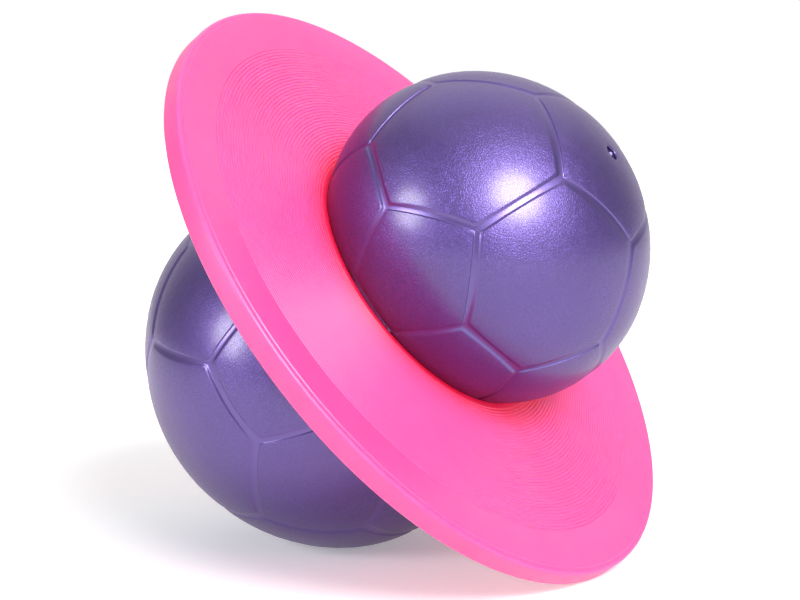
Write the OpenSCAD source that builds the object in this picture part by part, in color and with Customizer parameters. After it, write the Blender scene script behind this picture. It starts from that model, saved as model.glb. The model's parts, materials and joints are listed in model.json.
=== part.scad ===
// Bouncing balance disc: an air-filled ball pinched at its waist by a round foot platform.
// It lies as it is put down, on the ball's lower lobe and the platform's edge.
// The floor is z = 0, and the ball's axis leans towards +X.

/* [Platform] */
// Outer diameter of the platform
platform_d = 390; // [370:1:410]
// Height of the platform's edge
platform_h = 13; // [12:0.5:16]
// Wall of the two platform mouldings
platform_wall = 3; // [2.5:0.25:3.5]
// Width of the narrow band outside the border
edge_w = 4; // [3.5:0.5:6]
// Depth of that band below the border
edge_step = 0.5; // [0.3:0.1:0.8]
// Rounding of the band's outer edge
top_round = 2; // [1:0.25:2.5]
// Rounding of the lower outer edge, which rests on the floor
foot_round = 2; // [1.5:0.25:2.5]
// Radius of the hole that pinches the ball
hole_r = 82; // [80:0.5:83]
// Rounding of the hole's two edges
lip_round = 2.5; // [1.5:0.25:2.75]
// Stiffening ribs inside the platform
rib_count = 24; // [12:1:36]
// Thickness of a stiffening rib
rib_t = 2; // [1.5:0.25:3]

/* [Tread] */
// Distance from the tread's slope to the platform's edge
border_w = 22; // [18:1:30]
// Depth of the tread below the border
tread_step = 0.8; // [0.4:0.1:1.2]
// Width of the slope from the border down to the tread
step_w = 4.5; // [2:0.5:5]
// Spacing of the tread's grooves
groove_pitch = 2; // [1.8:0.1:3]
// Width of one groove
groove_w = 0.9; // [0.6:0.1:1.2]
// Depth of one groove
groove_depth = 0.5; // [0.3:0.1:0.8]

/* [Ball] */
// Thickness of the ball's skin
skin_t = 2.5; // [2:0.25:3]
// Radius of the upper lobe's crown
upper_crown_r = 101; // [101:0.5:103]
// Height of the upper crown's centre above the border
upper_crown_z = 32.4; // [32.4:0.1:33.5]
// Radius of the upper lobe's shoulder
upper_shoulder_r = 81; // [80:0.5:81]
// Radius of the lower lobe's crown
lower_crown_r = 118; // [116:0.5:120]
// Depth of the lower crown's centre below the border
lower_crown_z = 76.5; // [75:0.5:79]
// Radius of the lower lobe's shoulder
lower_shoulder_r = 90.5; // [88:0.5:91]
// Depth to which the floor flattens the soft ball
patch_depth = 0.6; // [0.4:0.1:0.8]

/* [Valve] */
// Angle between the ball's axis and the valve
valve_lean = 3.5; // [0:0.5:8]
// Direction in which the valve leans, round the ball's axis
valve_turn = 30; // [0:5:355]
// Outer radius of the valve's sleeve
sleeve_r = 4.4; // [4:0.1:5]
// Length of the sleeve
sleeve_len = 15; // [12:1:20]
// Radius of the sleeve's flange inside the ball
flange_r = 9; // [7:0.5:12]
// Radius of the plug's stem
stem_r = 2.2; // [2.1:0.1:2.4]
// Radius of the plug's head
head_r = 3.1; // [2.9:0.1:3.3]
// Radius of the nub that the plug is pulled out by
nub_r = 1.3; // [1:0.1:1.6]

/* [Hidden] */
$fn = 180;

platform_r = platform_d / 2;
gap = 0.3;
weld_gap = 0.1;
hole_gap = 0.4;
sleeve_gap = 0.05;
rib_lap = 1;

// Platform sections are drawn with x as the radius and y = 0 at the border's top
tread_top = -tread_step;
deck_under = tread_top - platform_wall;
border_r = platform_r - border_w;
edge_r = platform_r - edge_w;
tread_r = border_r - step_w;
first_groove = hole_r + lip_round + 4;
groove_count = floor((tread_r - first_groove) / groove_pitch);
base_recess = 0.5;
base_in = hole_r + platform_wall + weld_gap;
base_out = platform_r - platform_wall - weld_gap;
base_low = -platform_h + base_recess;
base_top = base_low + platform_wall;
rib_top = deck_under - weld_gap;
ring_rib_r = [base_in + (base_out - base_in) / 3, base_in + (base_out - base_in) * 2 / 3];

// Each lobe is drawn pole upwards: a crown arc, a shoulder arc tangent to it, and a neck in the hole.
// The crown passes into the shoulder in a direction whose parts are whole 625ths, so that arcs meet exactly.
turn = [527, 336] / 625;
leave = [turn.x, -turn.y];
wedge_reach = 125;
waist = platform_h / 2;
neck_r = hole_r - hole_gap;

// The platform's edge and the flattened lower lobe reach the floor together
edge_across = platform_r - foot_round;
edge_along = lower_crown_z - (platform_h - foot_round);
patch_drop = lower_crown_r - patch_depth - foot_round;
tilt = asin(patch_drop / norm([edge_across, edge_along])) + atan2(edge_along, edge_across);

// Valve heights, measured outwards from the ball's surface
sleeve_top = -1.9;
flange_top = -skin_t - 0.5;
flange_t = 1.6;
recess_r = head_r + 0.4;
recess_floor = -4.5;
bore_r = stem_r + gap;
head_floor = recess_floor + gap;
head_t = 1;
head_top = head_floor + head_t;
nub_top = -0.4;
nub_dome = 0.95 * nub_r;
stem_len = sleeve_len - 3;
tip_round = 1;

deck_pink = [1, 0.42, 0.7];
base_pink = [0.95, 0.36, 0.64];
ball_purple = [0.4, 0.3, 0.62];
valve_purple = [0.3, 0.22, 0.48];

// Lays the upright assembly down on the floor, with the flattened patch at the origin
module at_rest() {
    translate([lower_crown_z * sin(tilt), 0, lower_crown_z * cos(tilt) + lower_crown_r - patch_depth])
        rotate([0, tilt, 0]) children();
}

// Puts the valve's own axis on z, with z = 0 on the ball's surface
module at_valve() {
    translate([0, 0, upper_crown_z]) rotate([0, valve_lean, valve_turn])
        translate([0, 0, upper_crown_r]) children();
}

// A rectangle between two opposite corners
module box2(low, high) {
    translate(low) square(high - low);
}

// Cuts a round corner: at is the sharp corner, and inward points from it into the material
module round_corner(at, r, inward) {
    translate(at) difference() {
        square(2 * r, center = true);
        translate(r * inward) circle(r);
    }
}

// One V groove of the tread, as the three points of its section
function groove(k) = let (r = first_groove + k * groove_pitch) [
    [r, tread_top], [r + groove_w / 2, tread_top - groove_depth], [r + groove_w, tread_top]
];

// Section of the upper moulding: grooved tread, border, outer band, rim wall and the hole's collar
module deck_section() {
    polygon(concat(
        [[hole_r + platform_wall, -platform_h], [hole_r, -platform_h], [hole_r, tread_top]],
        [for (k = [0 : groove_count - 1]) each groove(k)],
        [[tread_r, tread_top], [border_r, 0], [edge_r, 0], [edge_r + edge_step, -edge_step],
         [platform_r, -edge_step], [platform_r, -platform_h],
         [platform_r - platform_wall, -platform_h], [platform_r - platform_wall, deck_under],
         [hole_r + platform_wall, deck_under]]
    ));
}

// Upper moulding, with its four rounded edges
module deck() {
    color(deck_pink) at_rest() rotate_extrude() difference() {
        deck_section();
        round_corner([hole_r, -platform_h], lip_round, [1, 1]);
        round_corner([hole_r, tread_top], lip_round, [1, -1]);
        round_corner([platform_r, -edge_step], top_round, [-1, -1]);
        round_corner([platform_r, -platform_h], foot_round, [-1, 1]);
    }
}

// A ring rib that stands on the base plate
module ring_rib(r) {
    box2([r - rib_t / 2, base_top - rib_lap], [r + rib_t / 2, rib_top]);
}

// Lower moulding: closes the platform from below and carries its ribs
module platform_base() {
    color(base_pink) at_rest() {
        rotate_extrude() {
            box2([base_in, base_low], [base_out, base_top]);
            for (r = ring_rib_r) ring_rib(r);
        }
        for (k = [0 : rib_count - 1]) rotate([0, 0, (k + 0.5) * 360 / rib_count])
            translate([base_in + rib_t, -rib_t / 2, base_top - rib_lap])
                cube([base_out - base_in - 2 * rib_t, rib_t, rib_top - base_top + rib_lap]);
    }
}

// Skin along one arc, between two directions from the arc's centre
module skin_arc(centre, r, from, to) {
    translate(centre) intersection() {
        difference() {
            circle(r);
            circle(r - skin_t);
        }
        polygon(wedge_reach * [[0, 0], from, from + to, to]);
    }
}

// Centre of the shoulder arc that carries on a crown without a break
function shoulder_at(crown_r, crown_z, shoulder_r) = [0, crown_z] + (crown_r - shoulder_r) * turn;

// Crown and shoulder of a lobe
module lobe(crown_r, crown_z, shoulder_r) {
    rotate_extrude() skin_arc([0, crown_z], crown_r, [0, 1], turn);
    rotate_extrude() skin_arc(shoulder_at(crown_r, crown_z, shoulder_r), shoulder_r, turn, leave);
}

// Upper lobe: its shoulder ends on the deck and turns in to the neck
module upper_lobe() {
    centre = shoulder_at(upper_crown_r, upper_crown_z, upper_shoulder_r);
    seat = centre + upper_shoulder_r * leave;
    inside = centre + (upper_shoulder_r - skin_t) * leave;
    lobe(upper_crown_r, upper_crown_z, upper_shoulder_r);
    rotate_extrude() polygon([
        seat, inside, [neck_r - skin_t, inside.y], [neck_r - skin_t, -waist],
        [neck_r, -waist], [neck_r, seat.y]
    ]);
}

// Point where the straight neck that starts at a point has come in to a radius
function down_neck(start, r) = [r, start.y - (start.x - r) * turn.x / turn.y];

// Lower lobe, drawn pole up: a straight neck leads from its shoulder into the hole
module lower_lobe() {
    centre = shoulder_at(lower_crown_r, lower_crown_z, lower_shoulder_r);
    outside = centre + lower_shoulder_r * leave;
    inside = centre + (lower_shoulder_r - skin_t) * leave;
    lobe(lower_crown_r, lower_crown_z, lower_shoulder_r);
    rotate_extrude() polygon([
        outside, down_neck(outside, neck_r), [neck_r, waist],
        [neck_r - skin_t, waist], down_neck(inside, neck_r - skin_t), inside
    ]);
}

// Upper half of the ball's skin, with the hole that holds the valve
module ball_upper() {
    color(ball_purple) at_rest() difference() {
        upper_lobe();
        at_valve() translate([0, 0, -2 * skin_t]) cylinder(h = 4 * skin_t, r = sleeve_r + sleeve_gap);
    }
}

// Lower half of the ball's skin, flattened a little where it meets the floor
module ball_lower() {
    color(ball_purple) difference() {
        at_rest() mirror([0, 0, 1]) lower_lobe();
        translate([-lower_crown_r, -lower_crown_r, -lower_crown_r])
            cube([2 * lower_crown_r, 2 * lower_crown_r, lower_crown_r]);
    }
}

// Flanged rubber sleeve that seals the valve hole from inside
module valve_sleeve() {
    color(valve_purple) at_rest() at_valve() rotate_extrude() difference() {
        union() {
            box2([0, sleeve_top - sleeve_len], [sleeve_r, sleeve_top]);
            box2([0, flange_top - flange_t], [flange_r, flange_top]);
        }
        box2([0, sleeve_top - sleeve_len - 1], [bore_r, sleeve_top + 1]);
        box2([0, recess_floor], [recess_r, sleeve_top + 1]);
    }
}

// Plug: a flat head sunk in the sleeve's recess, with a domed nub, on a stem with a rounded tip
module valve_plug() {
    tip = head_floor - stem_len;
    color(valve_purple) at_rest() at_valve() rotate_extrude() {
        box2([0, head_floor], [head_r, head_top]);
        box2([0, head_floor], [nub_r, nub_top - nub_dome]);
        intersection() {
            translate([0, nub_top - nub_dome]) circle(nub_r);
            box2([0, head_floor], [nub_r, nub_top]);
        }
        box2([0, tip + tip_round], [stem_r, head_floor]);
        box2([0, tip], [stem_r - tip_round, head_floor]);
        translate([stem_r - tip_round, tip + tip_round]) circle(tip_round);
    }
}

deck();
platform_base();
ball_upper();
ball_lower();
valve_sleeve();
valve_plug();
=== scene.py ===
"""Looks of the bouncing balance disc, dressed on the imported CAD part.

Shapes are worked out upright, in millimetres, with z along the ball's axis and z = 0 at the top of the
platform's border, and are then laid down the way the part rests.
"""
import itertools
import json
import math

import bmesh
import bpy
import numpy as np
from mathutils import Matrix, Vector


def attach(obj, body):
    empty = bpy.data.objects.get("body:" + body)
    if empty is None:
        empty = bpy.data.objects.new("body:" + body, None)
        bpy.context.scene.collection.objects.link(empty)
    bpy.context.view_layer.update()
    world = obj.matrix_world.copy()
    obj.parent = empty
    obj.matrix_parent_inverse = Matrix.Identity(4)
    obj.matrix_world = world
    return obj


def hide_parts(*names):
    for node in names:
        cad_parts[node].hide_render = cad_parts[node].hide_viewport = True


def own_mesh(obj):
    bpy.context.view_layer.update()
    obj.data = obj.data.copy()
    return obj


MM = 0.001

# Platform
PLATFORM_R = 195.0
PLATFORM_H = 13.0
WALL = 3.0
EDGE_W = 4.0
EDGE_STEP = 0.5
TOP_ROUND = 2.0
FOOT_ROUND = 2.0
HOLE_R = 82.0
LIP_ROUND = 2.5
RING_SEGMENTS = 288
# Edges of the deck that turn by more than this stay sharp
SHARP_EDGE = math.radians(28)
# How far out from the hole the deck's colour is painted deeper red, as painted shade and painted red bounce
# light from the ball
SHADE_REACH = 30.0

# Tread
BORDER_W = 22.0
TREAD_STEP = 0.8
STEP_W = 4.5
GROOVE_START = 4.0
GROOVE_PITCH = 2.0
GROOVE_W = 0.9
GROOVE_DEPTH = 0.5

# Ball: crown radius, height of the crown's centre and shoulder radius of each lobe, pole upwards
UPPER = {"crown_r": 101.0, "crown_z": 32.4, "shoulder_r": 81.0}
LOWER = {"crown_r": 118.0, "crown_z": 76.5, "shoulder_r": 90.5}
# Direction, as radius and height, in which a crown passes into its shoulder
TURN = (527 / 625, 336 / 625)
# Neck in the platform's hole, its start above the tread, and the skin's thickness
NECK_R = 81.6
NECK_RISE = 0.1
SKIN_T = 2.5

# How far the moulded pattern is drawn over each lobe: polar angle = a * x + b * x cubed
UPPER_STRETCH = (1.505, -0.063)
LOWER_STRETCH = (1.431, -0.0507)
# Polar angle and height, on the undeformed unit ball, at which the pattern is parted between the lobes
WAIST_ANGLE = 1.405
PATTERN_WAIST = math.cos(WAIST_ANGLE)
PANEL_TURN = math.radians(-12)

# Valve: its lean from the ball's axis, the side that it leans to, its hole in the skin, and the rounding of
# the hole's lip, whose edges lie within a slack of the hole's radius
VALVE_LEAN = math.radians(3.5)
VALVE_TURN = math.radians(30)
VALVE_HOLE_R = 4.45
VALVE_LIP = 0.8
LIP_SLACK = 0.3
LIP_SEGMENTS = 4

# Seams: depth, and reach into a panel as an angle on the undeformed ball. Five-sided panels have crisp
# edges. Six-sided ones roll softly into a seam, and share a seam between two of them evenly.
SEAM_DEPTH = 0.65
CRISP_REACH = 0.009
SOFT_REACH = 0.034
EVEN_REACH = 0.02
# Share of a side, from each corner, over which its reach passes into the next side's
CORNER_SHARE = 0.3
# Share of each kind of reach that is the channel's flat floor
CRISP_FLAT = 0.4
EVEN_FLAT = 0.5
SOFT_FLAT = 0.3
# Shares of the reach between which the seam's finish gives way to the panel's
SEAM_FINISH = (0.6, 1.1)
# Panels puff out between seams: height, reach from a seam, and the share that stands proud of the lobe
PUFF = 0.6
PUFF_REACH = 0.07
PUFF_PROUD = 0.25

# Panel meshes: columns along a side, and rows across a seam as shares of its reach. Further in, rows widen
# by a factor up to the widest, as long as there is room for one more.
SIDE_COLUMNS = 16
SEAM_ROWS = (0, 0.2, 0.3, 0.38, 0.46, 0.54, 0.62, 0.74, 0.87, 1, 1.1, 1.35, 1.9)
ROW_GROWTH = 1.5
ROW_MOST = 0.05
ROW_ROOM = 1.5

# Tolerances on the undeformed unit ball: a factor for equal lengths, and distances
SLACK = 1.01
WELD = 1e-5
CUT = 1e-6
ON_WAIST = 1e-4

# Camera, fitted to the photograph: focal length and image width in pixels, angles in degrees, and where it
# sees the deck's centre, as right, up and back in platform radii
FOCAL_PX = 2010
IMAGE_W = 800
CAMERA_AZIMUTH = 28.56
CAMERA_ELEVATION = 6.46
DECK_SEEN = Vector((0.101, 0.0632, -6.0091))
SENSOR_W = 36
CLIP_START = 0.05

# Studio in reflections: how far above the horizon the white backdrop is centred, the cosines from its
# middle between which it fades, and how white the rest of the room is
BACKDROP_RISE = 0.6
BACKDROP_FADE = (0.55, 0.85)
ROOM_LEVEL = 0.28
# Studio as light: the world's strength, the floor's glow to the camera and its size in metres, and the
# share of a softbox's spread that its brighter middle has
WORLD_LEVEL = 0.22
FLOOR_GLOW = 0.3
FLOOR_SIZE = 12
BOX_MIDDLE = 0.38

# Colours. A pair holds the two ends of a material's own variation.
BLACK = (0, 0, 0, 1)
WHITE = (1, 1, 1, 1)
FLOOR_WHITE = (0.9, 0.9, 0.9, 1)
DECK_PINK = ((0.9, 0.058, 0.265, 1), (0.96, 0.07, 0.295, 1))
# Painted shade and painted red bounce light for the deck near the hole
DECK_PAINTED_SHADE_RED = (1.0, 0.002, 0.035, 1)
# Painted red glow of the deck, though it is no lamp
DECK_PAINTED_GLOW = (1, 0.0, 0.03, 1)
BALL_PEARL = ((0.09, 0.053, 0.235, 1), (0.108, 0.064, 0.275, 1))
# Colour of the grain's creases, darker as painted shade
BALL_CREASE_SHADE = (0.083, 0.048, 0.215, 1)
BALL_SEAM = (0.108, 0.067, 0.268, 1)
BALL_EDGE = (0.82, 0.76, 0.74, 1)
# Sleeve rubber near-black, as painted shade in the valve's recess
SLEEVE_SHADE_PURPLE = ((0.018, 0.013, 0.045, 1), (0.035, 0.026, 0.08, 1))
# Plug rubber made light, as a painted highlight on the plug's head in the recess
PLUG_HIGHLIGHT_LILAC = ((0.3, 0.25, 0.5, 1), (0.38, 0.32, 0.6, 1))

# Height of the fine bumps and how far noise pulls the grain about, in metres
BUMP_HEIGHT = 0.0002
GRAIN_PULL = (0.005, 0.005, 0.005)

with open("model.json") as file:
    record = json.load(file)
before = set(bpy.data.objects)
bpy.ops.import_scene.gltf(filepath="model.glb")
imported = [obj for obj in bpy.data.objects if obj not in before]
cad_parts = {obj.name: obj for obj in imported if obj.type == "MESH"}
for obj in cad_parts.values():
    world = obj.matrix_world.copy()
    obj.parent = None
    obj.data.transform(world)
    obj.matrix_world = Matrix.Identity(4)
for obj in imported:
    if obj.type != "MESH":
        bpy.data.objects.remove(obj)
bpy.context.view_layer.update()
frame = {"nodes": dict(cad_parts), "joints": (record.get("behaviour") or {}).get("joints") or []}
joints = {j["name"]: j for j in frame["joints"]}
AXIS = Vector(joints["ball_twist"]["axis"]).normalized()
DECK = Vector(joints["ball_twist"]["pos_m"])


def rest_matrix():
    """From the upright drawing, in millimetres, to the row frame, in metres."""
    across = Vector((0, 1, 0))
    low_side = across.cross(AXIS).normalized()
    turn = Matrix((low_side, across, AXIS)).transposed().to_4x4()
    return Matrix.Translation(DECK) @ turn @ Matrix.Scale(MM, 4)


REST = rest_matrix()


def laid_down(points):
    """Upright points in millimetres, placed in the row frame."""
    m = np.array(REST)
    return np.asarray(points) @ m[:3, :3].T + m[:3, 3]


def add_object(name, data):
    """A new object in the scene, for a mesh, a lamp or a camera."""
    thing = bpy.data.objects.new(name, data)
    bpy.context.scene.collection.objects.link(thing)
    return thing


def grid_faces(rows, columns, closed):
    """Four-sided faces between rows of points that close round. If closed, the last row meets the first."""
    faces = []
    for i in range(rows if closed else rows - 1):
        here = i * columns
        there = (i + 1) % rows * columns
        for j in range(columns):
            k = (j + 1) % columns
            faces.append((here + j, here + k, there + k, there + j))
    return faces


def unit(v):
    """Vectors brought to length 1."""
    return v / np.linalg.norm(v, axis=-1, keepdims=True)


def angle_between(a, b):
    """Angle between two unit vectors."""
    return math.acos(float(np.clip(a @ b, -1, 1)))


def great_circle(a, b, shares):
    """Points on the great circle from a to b."""
    angle = angle_between(a, b)
    t = np.asarray(shares)[:, None]
    return (np.sin((1 - t) * angle) * a + np.sin(t * angle) * b) / math.sin(angle)


def icosahedron():
    """Twelve corners, one of them on +z."""
    level = 1 / math.sqrt(5)
    ring_r = 2 / math.sqrt(5)
    corners = [(0, 0, 1)]
    for k in range(5):
        a = PANEL_TURN + k * 2 * math.pi / 5
        corners.append((ring_r * math.cos(a), ring_r * math.sin(a), level))
    corners += [(-x, -y, -z) for x, y, z in corners]
    return np.array(corners)


def in_order(points, middle):
    """Points sorted round a direction."""
    u = unit(np.cross(middle, points[0]))
    v = np.cross(middle, u)
    return points[np.argsort(np.arctan2(points @ v, points @ u))]


def lean_pattern(points):
    """Leans the pattern so that its top panel sits round the valve."""
    angle = VALVE_LEAN / UPPER_STRETCH[0]
    axis = Vector((-math.sin(VALVE_TURN), math.cos(VALVE_TURN), 0))
    return points @ np.array(Matrix.Rotation(angle, 3, axis)).T


def panels():
    """The 32 panels of the moulded pattern, as corners on a unit ball. The first holds the valve."""
    ico = icosahedron()
    edge = np.linalg.norm(ico[0] - ico[1]) * SLACK
    near = np.linalg.norm(ico[:, None] - ico[None], axis=2) < edge
    found = []
    for k in range(len(ico)):
        others = [j for j in range(len(ico)) if near[k, j] and j != k]
        corners = unit(np.array([2 * ico[k] + ico[j] for j in others]))
        found.append(in_order(corners, ico[k]))
    for i, j, k in itertools.combinations(range(len(ico)), 3):
        if near[i, j] and near[j, k] and near[i, k]:
            a, b, c = ico[i], ico[j], ico[k]
            corners = [2 * a + b, 2 * b + a, 2 * b + c, 2 * c + b, 2 * c + a, 2 * a + c]
            found.append(unit(np.array(corners)))
    return [lean_pattern(p) for p in found]


def sides_of(corners):
    """Pairs of corners at the ends of each of a panel's sides."""
    return zip(corners, np.roll(corners, -1, axis=0))


def seam_reaches(corners):
    """How far a panel's seams reach into it, at each point of its rim.

    Six-sided panels start with a seam that they share evenly.
    """
    sides = [CRISP_REACH] * 5 if len(corners) == 5 else [EVEN_REACH, SOFT_REACH] * 3
    along = np.arange(SIDE_COLUMNS) / SIDE_COLUMNS
    clear = np.clip(np.minimum(along, 1 - along) / CORNER_SHARE, 0, 1)
    reaches = []
    for k, own in enumerate(sides):
        beside = np.where(along < 0.5, sides[k - 1], sides[(k + 1) % len(sides)])
        reaches.append((own + beside) / 2 + clear * (own - beside) / 2)
    return np.concatenate(reaches)


def row_angles(seam, reach):
    """Distances of a panel's rows from its edge: close over the seam, then wider to the panel's reach."""
    rows = [seam * s for s in SEAM_ROWS]
    step = rows[-1] - rows[-2]
    while rows[-1] + ROW_ROOM * step < reach:
        rows.append(rows[-1] + step)
        step = min(step * ROW_GROWTH, ROW_MOST)
    return np.array(rows + [reach])


def panel_mesh(corners, hole=0.0):
    """Directions and faces of one panel, from its seams in to its middle or to a round hole."""
    middle = unit(corners.mean(0))
    shares = np.arange(SIDE_COLUMNS) / SIDE_COLUMNS
    rim = np.concatenate([great_circle(a, b, shares) for a, b in sides_of(corners)])
    reach = angle_between(unit(corners[0] + corners[1]), middle) - hole
    rows = row_angles(seam_reaches(corners).max(), reach)
    if not hole:
        rows = rows[:-1]
    columns = []
    for e in rim:
        full = angle_between(e, middle) - hole
        side = unit(e - (e @ middle) * middle)
        angle = hole + full * (1 - rows / reach)
        columns.append(np.outer(np.cos(angle), middle) + np.outer(np.sin(angle), side))
    points = np.array(columns).transpose(1, 0, 2).reshape(-1, 3)
    count = len(rim)
    faces = grid_faces(len(rows), count, closed=False)
    if not hole:
        last = len(points) - count
        faces += [(last + j, last + (j + 1) % count, len(points)) for j in range(count)]
        points = np.vstack([points, middle])
    return points, faces


def seam_distance(points, shapes):
    """Angle from each point to the nearest seam of the pattern."""
    best = np.full(len(points), np.inf)
    for corners in shapes:
        for a, b in sides_of(corners):
            normal = unit(np.cross(a, b))
            off = np.abs(np.arcsin(np.clip(points @ normal, -1, 1)))
            beside = (np.cross(normal, a) @ points.T > 0) & (np.cross(b, normal) @ points.T > 0)
            to_corner = np.arccos(np.clip(np.maximum(points @ a, points @ b), -1, 1))
            best = np.minimum(best, np.where(beside, off, to_corner))
    return best


def lobe_point(alpha, lobe):
    """Radius, height and normal of a lobe's outline at angles from the pole, about the crown's centre."""
    u = np.stack([np.sin(alpha), np.cos(alpha)], 1)
    turn = np.array(TURN)
    leave = np.array((TURN[0], -TURN[1]))
    centre = (lobe["crown_r"] - lobe["shoulder_r"]) * turn
    along = u @ centre
    shoulder = along + np.sqrt(along**2 - centre @ centre + lobe["shoulder_r"]**2)
    normal = (shoulder[:, None] * u - centre) / lobe["shoulder_r"]
    on_crown = alpha < math.atan2(*TURN)
    on_neck = ~on_crown & (normal[:, 1] < leave[1])
    neck = ((centre + lobe["shoulder_r"] * leave) @ leave) / np.where(on_neck, u @ leave, 1)
    rho = np.where(on_crown, lobe["crown_r"], np.where(on_neck, neck, shoulder))
    normal[on_crown] = u[on_crown]
    normal[on_neck] = leave
    flat = rho[:, None] * u + (0, lobe["crown_z"])
    return flat, normal


def on_lobe(points, lobe, stretch, mirrored):
    """Places on a lobe, and outward normals, of directions on the undeformed ball."""
    sign = -1 if mirrored else 1
    polar = np.arccos(np.clip(sign * points[:, 2], -1, 1))
    round_ball = np.arctan2(points[:, 1], points[:, 0])
    flat, normal = lobe_point(stretch[0] * polar + stretch[1] * polar**3, lobe)
    c, s = np.cos(round_ball), np.sin(round_ball)
    place = np.stack([flat[:, 0] * c, flat[:, 0] * s, sign * flat[:, 1]], 1)
    out = np.stack([normal[:, 0] * c, normal[:, 0] * s, sign * normal[:, 1]], 1)
    return place, out


def groove_depth(distance, seam):
    """Depth below the smooth lobe, in millimetres, at an angle from a seam: channel, then panel's puff."""
    crisp = 1 - np.clip((distance / seam - CRISP_FLAT) / (1 - CRISP_FLAT), 0, 1)**2
    flat = np.interp(seam, (EVEN_REACH, SOFT_REACH), (EVEN_FLAT, SOFT_FLAT))
    soft = 0.5 + 0.5 * np.cos(math.pi * np.clip((distance / seam - flat) / (1 - flat), 0, 1))
    channel = SEAM_DEPTH * np.where(seam > SLACK * CRISP_REACH, soft, crisp)
    return channel + PUFF * np.exp(-distance / PUFF_REACH) - PUFF * PUFF_PROUD


def whole_ball(shapes):
    """The pattern's mesh on the undeformed ball, as one bmesh that keeps each point's seam reach."""
    bm = bmesh.new()
    reach = bm.verts.layers.float.new("reach")
    hole = VALVE_HOLE_R / (UPPER["crown_r"] * UPPER_STRETCH[0])
    for k, corners in enumerate(shapes):
        points, faces = panel_mesh(corners, hole if k == 0 else 0.0)
        verts = [bm.verts.new(p) for p in points]
        reaches = seam_reaches(corners)
        for i, v in enumerate(verts):
            v[reach] = reaches[i % len(reaches)]
        for f in faces:
            bm.faces.new([verts[i] for i in f])
    bmesh.ops.remove_doubles(bm, verts=bm.verts, dist=WELD)
    bmesh.ops.recalc_face_normals(bm, faces=bm.faces)
    return bm


def half_ball(shapes, upper):
    """The part of the pattern's mesh above or below the waist."""
    bm = whole_ball(shapes)
    bmesh.ops.bisect_plane(bm, geom=bm.verts[:] + bm.edges[:] + bm.faces[:], dist=CUT,
                           plane_co=(0, 0, PATTERN_WAIST), plane_no=(0, 0, 1),
                           clear_inner=upper, clear_outer=not upper)
    return bm


def waist_loop(bm):
    """The open edges along the waist."""
    return [e for e in bm.edges
            if e.is_boundary and all(abs(v.co.z - PATTERN_WAIST) < ON_WAIST for v in e.verts)]


def mould(bm, shapes, upper):
    """Moves a half ball out onto its lobe, sinks its seams, and keeps how near each point is to one."""
    points = unit(np.array([v.co for v in bm.verts]))
    lobe, stretch = (UPPER, UPPER_STRETCH) if upper else (LOWER, LOWER_STRETCH)
    place, out = on_lobe(points, lobe, stretch, not upper)
    distance = seam_distance(points, shapes)
    reach = bm.verts.layers.float["reach"]
    reaches = np.maximum([v[reach] for v in bm.verts], CRISP_REACH)
    at_waist = np.abs(points[:, 2] - PATTERN_WAIST) < ON_WAIST
    depth = np.where(at_waist, 0.0, groove_depth(distance, reaches))
    place = place - out * depth[:, None]
    nearness = np.interp(distance / reaches, SEAM_FINISH, (1, 0))
    seam = bm.verts.layers.float.new("seam")
    for v, p, near in zip(bm.verts, place, nearness):
        v.co = p
        v[seam] = float(near)


def carry_on(bm, edges, place):
    """Extrudes open edges once, and puts each new point where place says."""
    out = bmesh.ops.extrude_edge_only(bm, edges=edges)["geom"]
    for v in [g for g in out if isinstance(g, bmesh.types.BMVert)]:
        v.co = place(v.co)
    return [g for g in out if isinstance(g, bmesh.types.BMEdge)]


def at_radius(r, z):
    """A function that moves a point in or out to a radius and a height, keeping its side of the ball."""
    def place(co):
        across = math.hypot(co.x, co.y)
        return Vector((co.x * r / across, co.y * r / across, z))
    return place


def thicken(bm):
    """Gives the skin its thickness, inwards."""
    bmesh.ops.recalc_face_normals(bm, faces=bm.faces)
    bmesh.ops.solidify(bm, geom=bm.faces[:], thickness=SKIN_T)


def valve_axis():
    """Middle of the valve on the upper crown, and the direction that it faces."""
    out = Vector((math.sin(VALVE_LEAN) * math.cos(VALVE_TURN), math.sin(VALVE_LEAN) * math.sin(VALVE_TURN),
                  math.cos(VALVE_LEAN)))
    return Vector((0, 0, UPPER["crown_z"])) + UPPER["crown_r"] * out, out


def round_valve_hole(bm):
    """Rounds the skin's outer edge at the valve's hole."""
    middle, out = valve_axis()
    lip = []
    for e in bm.edges:
        off = [v.co - middle for v in e.verts]
        along = [o.dot(out) for o in off]
        across = [(o - out * a).length for o, a in zip(off, along)]
        if max(across) < VALVE_HOLE_R + LIP_SLACK and min(along) > -SKIN_T / 2:
            lip.append(e)
    bmesh.ops.bevel(bm, geom=lip, offset=VALVE_LIP, segments=LIP_SEGMENTS, profile=0.5, affect="EDGES")


def flatten_on_floor(bm):
    """Lifts what is below the floor up to it."""
    for v in bm.verts:
        v.co.z = max(v.co.z, 0.0)


def ball_half(name, shapes, upper):
    """One lobe of the ball's skin, with its seams, its neck and its thickness."""
    bm = half_ball(shapes, upper)
    waist = waist_loop(bm)
    mould(bm, shapes, upper)
    if upper:
        waist = carry_on(bm, waist, at_radius(NECK_R, NECK_RISE - TREAD_STEP))
    carry_on(bm, waist, at_radius(NECK_R, -PLATFORM_H / 2))
    thicken(bm)
    if upper:
        round_valve_hole(bm)
    bm.transform(REST)
    if not upper:
        flatten_on_floor(bm)
    mesh = bpy.data.meshes.new(name)
    bm.to_mesh(mesh)
    bm.free()
    mesh.shade_smooth()
    return add_object(name, mesh)


def arc(centre, r, start, end, steps):
    """Points along an arc, with angles in degrees from +x."""
    return [(centre[0] + r * math.cos(math.radians(a)), centre[1] + r * math.sin(math.radians(a)))
            for a in np.linspace(start, end, steps)]


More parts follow.
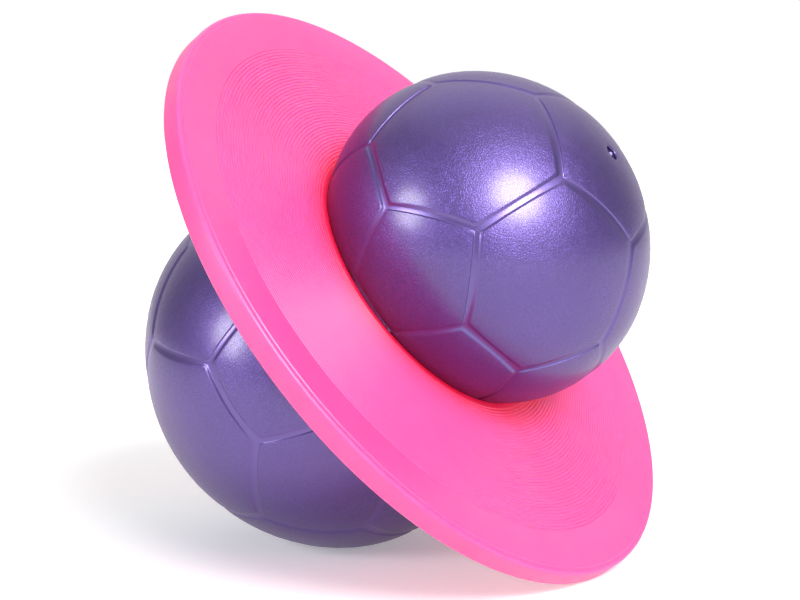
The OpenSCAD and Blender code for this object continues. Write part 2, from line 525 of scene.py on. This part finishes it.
def deck_outline():
    """Section of the upper moulding, as a closed loop of radius and height."""
    top = -TREAD_STEP
    under = top - WALL
    first = HOLE_R + LIP_ROUND + GROOVE_START
    border = PLATFORM_R - BORDER_W
    tread = border - STEP_W
    edge = PLATFORM_R - EDGE_W
    loop = [(HOLE_R + WALL, under), (HOLE_R + WALL, -PLATFORM_H)]
    loop += arc((HOLE_R + LIP_ROUND, -PLATFORM_H + LIP_ROUND), LIP_ROUND, 270, 180, steps=6)
    loop += arc((HOLE_R + LIP_ROUND, top - LIP_ROUND), LIP_ROUND, 180, 90, steps=8)
    for k in range(int((tread - first) / GROOVE_PITCH)):
        r = first + k * GROOVE_PITCH
        loop += [(r, top), (r + GROOVE_W / 2, top - GROOVE_DEPTH), (r + GROOVE_W, top)]
    loop += [(tread, top), (border, 0), (edge, 0), (edge + EDGE_STEP, -EDGE_STEP)]
    loop += arc((PLATFORM_R - TOP_ROUND, -EDGE_STEP - TOP_ROUND), TOP_ROUND, 90, 0, steps=9)
    loop += arc((PLATFORM_R - FOOT_ROUND, -PLATFORM_H + FOOT_ROUND), FOOT_ROUND, 0, -90, steps=7)
    loop += [(PLATFORM_R - WALL, -PLATFORM_H), (PLATFORM_R - WALL, under)]
    return loop


def turned(name, loop, segments):
    """A closed loop of radius and height turned about the ball's axis, as a smooth piece."""
    a = np.arange(segments) * 2 * math.pi / segments
    r, z = np.array(loop).T
    points = np.stack([np.outer(np.cos(a), r), np.outer(np.sin(a), r), np.tile(z, (segments, 1))], 2)
    places = laid_down(points.reshape(-1, 3)).tolist()
    mesh = bpy.data.meshes.new(name)
    mesh.from_pydata(places, [], grid_faces(segments, len(loop), closed=True))
    mesh.validate()
    mesh.update()
    mesh.shade_smooth()
    return add_object(name, mesh)


def mark_shade(piece, loop):
    """Keeps with each point of a turned piece how near it is to the hole: 1 at its edge, 0 further out."""
    near = [min(1.0, max(0.0, 1 - (r - HOLE_R) / SHADE_REACH))**2 for r, _ in loop]
    layer = piece.data.attributes.new("shade", "FLOAT", "POINT")
    layer.data.foreach_set("value", near * (len(piece.data.vertices) // len(loop)))


def feed(tree, node, inputs):
    """Fills a node's inputs, by name or number: links another node's output, or sets a value."""
    for key, value in inputs.items():
        if isinstance(value, bpy.types.NodeSocket):
            tree.links.new(value, node.inputs[key])
        else:
            node.inputs[key].default_value = value


def node_of(tree, kind, inputs, **settings):
    """A new node with its settings and its inputs."""
    node = tree.nodes.new(kind)
    for key, value in settings.items():
        setattr(node, key, value)
    feed(tree, node, inputs)
    return node


def material(name):
    """A new material with a node tree, and its Principled shader."""
    mat = bpy.data.materials.new(name)
    mat.use_nodes = True
    return mat, mat.node_tree, mat.node_tree.nodes["Principled BSDF"]


def own_place(tree):
    """Coordinates of the piece itself, in metres."""
    return tree.nodes.new("ShaderNodeTexCoord").outputs["Object"]


def kept_share(tree, name):
    """A share that the mesh keeps with each of its points."""
    return node_of(tree, "ShaderNodeAttribute", {}, attribute_name=name).outputs["Fac"]


def noise(tree, place, scale, detail):
    """Noise over the piece's own coordinates, in cycles per metre."""
    inputs = {"Vector": place, "Scale": scale, "Detail": detail}
    return node_of(tree, "ShaderNodeTexNoise", inputs).outputs["Fac"]


def between(tree, share, low, high, ends=(0.0, 1.0)):
    """A number that runs from low to high while a share runs between two ends."""
    inputs = {"Value": share, "From Min": ends[0], "From Max": ends[1], "To Min": low, "To Max": high}
    return node_of(tree, "ShaderNodeMapRange", inputs).outputs["Result"]


def ramp(tree, share, ends, shades):
    """A colour that goes from one shade to another while a share runs between two ends."""
    node = node_of(tree, "ShaderNodeValToRGB", {"Fac": share})
    for element, position, shade in zip(node.color_ramp.elements, ends, shades):
        element.position = position
        element.color = shade
    return node.outputs["Color"]


def blend_colour(tree, share, first, second):
    """A colour that goes from first to second with a share."""
    inputs = {"Factor": share, "A": first, "B": second}
    return node_of(tree, "ShaderNodeMix", inputs, data_type="RGBA").outputs["Result"]


def bump(tree, height, strength):
    """A fine bump from a share, as a node, so that another bump can go under it."""
    inputs = {"Height": height, "Strength": strength, "Distance": BUMP_HEIGHT}
    return node_of(tree, "ShaderNodeBump", inputs)


def leather_grain(tree, place):
    """Fine creased grain: small cells, pulled about by noise. It is 0 in the creases and 1 between them."""
    push = node_of(tree, "ShaderNodeTexNoise", {"Vector": place, "Scale": 150.0, "Detail": 3.0})
    moved = node_of(tree, "ShaderNodeVectorMath", {0: push.outputs["Color"], 1: GRAIN_PULL, 2: place},
                    operation="MULTIPLY_ADD")
    cells = node_of(tree, "ShaderNodeTexVoronoi", {"Vector": moved.outputs["Vector"], "Scale": 680.0},
                    feature="DISTANCE_TO_EDGE")
    return ramp(tree, cells.outputs["Distance"], (0, 0.25), (BLACK, WHITE))


def deck_material():
    """Satin moulded plastic: a faint flow in its colour, fine matt grain, painted shade and red glow by the
    ball.
    """
    mat, tree, shader = material("deck_plastic")
    place = own_place(tree)
    shade = kept_share(tree, "shade")
    tint = ramp(tree, noise(tree, place, scale=9.0, detail=3.0), (0.3, 0.7), DECK_PINK)
    grain = bump(tree, noise(tree, place, scale=1500.0, detail=2.0), strength=0.15)
    feed(tree, shader, {
        # Base colour: painted shade and painted red bounce light near the hole
        "Base Color": blend_colour(tree, shade, tint, DECK_PAINTED_SHADE_RED),
        "Roughness": between(tree, noise(tree, place, scale=60.0, detail=3.0), 0.36, 0.5),
        "Specular IOR Level": 0.75,
        "Subsurface Weight": 0.6,
        "Subsurface Radius": (1.0, 0.08, 0.2),
        "Subsurface Scale": 0.02,
        # Painted red glow: faint all over, and stronger near the hole as painted bounce light from the ball
        "Emission Color": DECK_PAINTED_GLOW,
        "Emission Strength": between(tree, shade, 0.07, 0.3),
        "Normal": grain.outputs["Normal"],
    })
    return mat


def ball_material():
    """Pearly vinyl with a creased grain, whose creases are painted darker as shade, smoother along the
    seams.
    """
    mat, tree, shader = material("ball_vinyl")
    place = own_place(tree)
    seam = kept_share(tree, "seam")
    grain = leather_grain(tree, place)
    pearl = ramp(tree, noise(tree, place, scale=30.0, detail=3.0), (0.3, 0.7), BALL_PEARL)
    # The grain's creases are painted darker, as painted shade
    crease_shaded = blend_colour(tree, grain, BALL_CREASE_SHADE, pearl)
    fine = bump(tree, noise(tree, place, scale=1800.0, detail=2.0), strength=0.05)
    creases = bump(tree, grain, strength=between(tree, seam, 0.42, 0.05))
    feed(tree, creases, {"Normal": fine.outputs["Normal"]})
    feed(tree, shader, {
        "Base Color": blend_colour(tree, seam, crease_shaded, BALL_SEAM),
        "Metallic": 0.92,
        "Specular Tint": BALL_EDGE,
        "Roughness": between(tree, seam, 0.42, 0.37),
        "Coat Weight": 0.36,
        "Coat IOR": 2.0,
        "Coat Roughness": 0.26,
        "Normal": creases.outputs["Normal"],
    })
    return mat


def rubber_material(name, shades):
    """Soft rubber, with dust in its colour, gloss and surface."""
    mat, tree, shader = material(name)
    dust = noise(tree, own_place(tree), scale=400.0, detail=3.0)
    feed(tree, shader, {
        "Base Color": ramp(tree, dust, (0.3, 0.75), shades),
        "Roughness": between(tree, dust, 0.32, 0.5),
        "Normal": bump(tree, dust, strength=0.2).outputs["Normal"],
    })
    return mat


def camera_axes():
    """Right, up and back of the camera, in the row frame."""
    a, e = math.radians(CAMERA_AZIMUTH), math.radians(CAMERA_ELEVATION)
    right = Vector((math.cos(a), math.sin(a), 0))
    back = Vector((math.sin(a) * math.cos(e), -math.cos(a) * math.cos(e), math.sin(e)))
    return right, back.cross(right), back


def add_camera():
    """The photograph's camera."""
    data = bpy.data.cameras.new("camera")
    data.sensor_width = SENSOR_W
    data.lens = SENSOR_W * FOCAL_PX / IMAGE_W
    data.clip_start = CLIP_START
    right, up, back = camera_axes()
    seen = DECK_SEEN * PLATFORM_R * MM
    place = DECK - (right * seen.x + up * seen.y + back * seen.z)
    camera = add_object("camera", data)
    camera.matrix_world = Matrix.Translation(place) @ Matrix((right, up, back)).transposed().to_4x4()
    bpy.context.scene.camera = camera


def soft_lamp(name, direction, spread, strength):
    """An even soft lamp from a direction given as right, up and back of the camera, spread in degrees."""
    right, up, back = camera_axes()
    d = (right * direction[0] + up * direction[1] + back * direction[2]).normalized()
    data = bpy.data.lights.new(name, "SUN")
    data.angle = math.radians(spread)
    data.energy = strength
    lamp = add_object(name, data)
    lamp.location = DECK + d
    lamp.rotation_euler = d.to_track_quat("Z", "Y").to_euler()


def softbox(name, direction, spread, whole, middle):
    """A large soft lamp with a brighter middle, as a lit box has. whole and middle are strengths."""
    soft_lamp(name, direction, spread, whole)
    soft_lamp(name + "_middle", direction, spread * BOX_MIDDLE, middle)


def combined(tree, operation, first, second):
    """Two numbers put together by an operation, such as their product or the larger of them."""
    return node_of(tree, "ShaderNodeMath", {0: first, 1: second}, operation=operation).outputs[0]


def white_to_lens(tree, mirrored=1.0):
    """A share that is 1 for rays to the camera and through glass, and a given share in reflections."""
    path = tree.nodes.new("ShaderNodeLightPath").outputs
    glossy = combined(tree, "MULTIPLY", path["Is Glossy Ray"], mirrored)
    seen = combined(tree, "MAXIMUM", path["Is Camera Ray"], glossy)
    return combined(tree, "MAXIMUM", seen, path["Is Transmission Ray"])


def room_share(tree):
    """How white the studio is in reflections: 1 towards the backdrop, less in the rest of the room."""
    _, up, back = camera_axes()
    towards = tree.nodes.new("ShaderNodeTexCoord").outputs["Generated"]
    backdrop = (up * BACKDROP_RISE - back).normalized()
    facing = node_of(tree, "ShaderNodeVectorMath", {0: towards, 1: backdrop}, operation="DOT_PRODUCT")
    return between(tree, facing.outputs["Value"], ROOM_LEVEL, 1.0, BACKDROP_FADE)


def add_world():
    """A white studio: white to the camera and in reflections of the backdrop, and softer as light."""
    world = bpy.data.worlds.new("studio")
    bpy.context.scene.world = world
    world.use_nodes = True
    tree = world.node_tree
    white = white_to_lens(tree, room_share(tree))
    strength = between(tree, white, WORLD_LEVEL, 1.0)
    feed(tree, tree.nodes["Background"], {"Color": WHITE, "Strength": strength})


def paint(piece, mat):
    """Gives a piece one material all over."""
    piece.data.materials.clear()
    piece.data.materials.append(mat)


def add_floor():
    """A plain pale floor, brightened to the camera so that it runs into the white background."""
    bpy.ops.mesh.primitive_plane_add(size=FLOOR_SIZE, location=(0, 0, 0))
    floor = bpy.context.object
    floor.name = "floor"
    mat, tree, shader = material("floor_white")
    feed(tree, shader, {
        "Base Color": FLOOR_WHITE,
        "Roughness": 0.9,
        "Emission Color": WHITE,
        "Emission Strength": combined(tree, "MULTIPLY", white_to_lens(tree), FLOOR_GLOW),
    })
    paint(floor, mat)


def dress(piece, mat, body, slot, *nodes):
    """Gives a piece its material and its body, and hides the CAD nodes that it stands for."""
    paint(piece, mat)
    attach(piece, body)
    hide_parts(*nodes)


# Studio
bpy.context.scene.view_settings.view_transform = "Standard"
add_camera()
add_world()
add_floor()
softbox("key", (0.41, 0.52, 0.76), spread=72, whole=0.9, middle=3.7)
softbox("fill", (-0.75, 0.3, 0.55), spread=54, whole=0.1, middle=1.4)
soft_lamp("overhead", (0.1, 1.0, -0.2), spread=70, strength=0.5)

# Materials
pink = deck_material()
purple = ball_material()
# The sleeve's near-black is painted shade in the valve's recess
sleeve_rubber = rubber_material("sleeve_rubber", SLEEVE_SHADE_PURPLE)
# The plug's light lilac is a painted highlight on its head
plug_rubber = rubber_material("plug_rubber", PLUG_HIGHLIGHT_LILAC)

# Platform
section = deck_outline()
deck = turned("deck_dressed", section, RING_SEGMENTS)
mark_shade(deck, section)
deck.data.set_sharp_from_angle(angle=SHARP_EDGE)
dress(deck, pink, "platform", "deck_plastic", "deck")

# Ball
pattern = panels()
upper = ball_half("ball_upper_skin", pattern, True)
dress(upper, purple, "ball", "ball_vinyl", "ball_upper")
lower = ball_half("ball_lower_skin", pattern, False)
dress(lower, purple, "ball_foot", "ball_vinyl", "ball_lower")
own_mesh(lower)

# Pieces that show as the CAD model has them
for node, mat in (("platform_base", pink), ("valve_sleeve", sleeve_rubber), ("valve_plug", plug_rubber)):
    paint(frame["nodes"][node], mat)
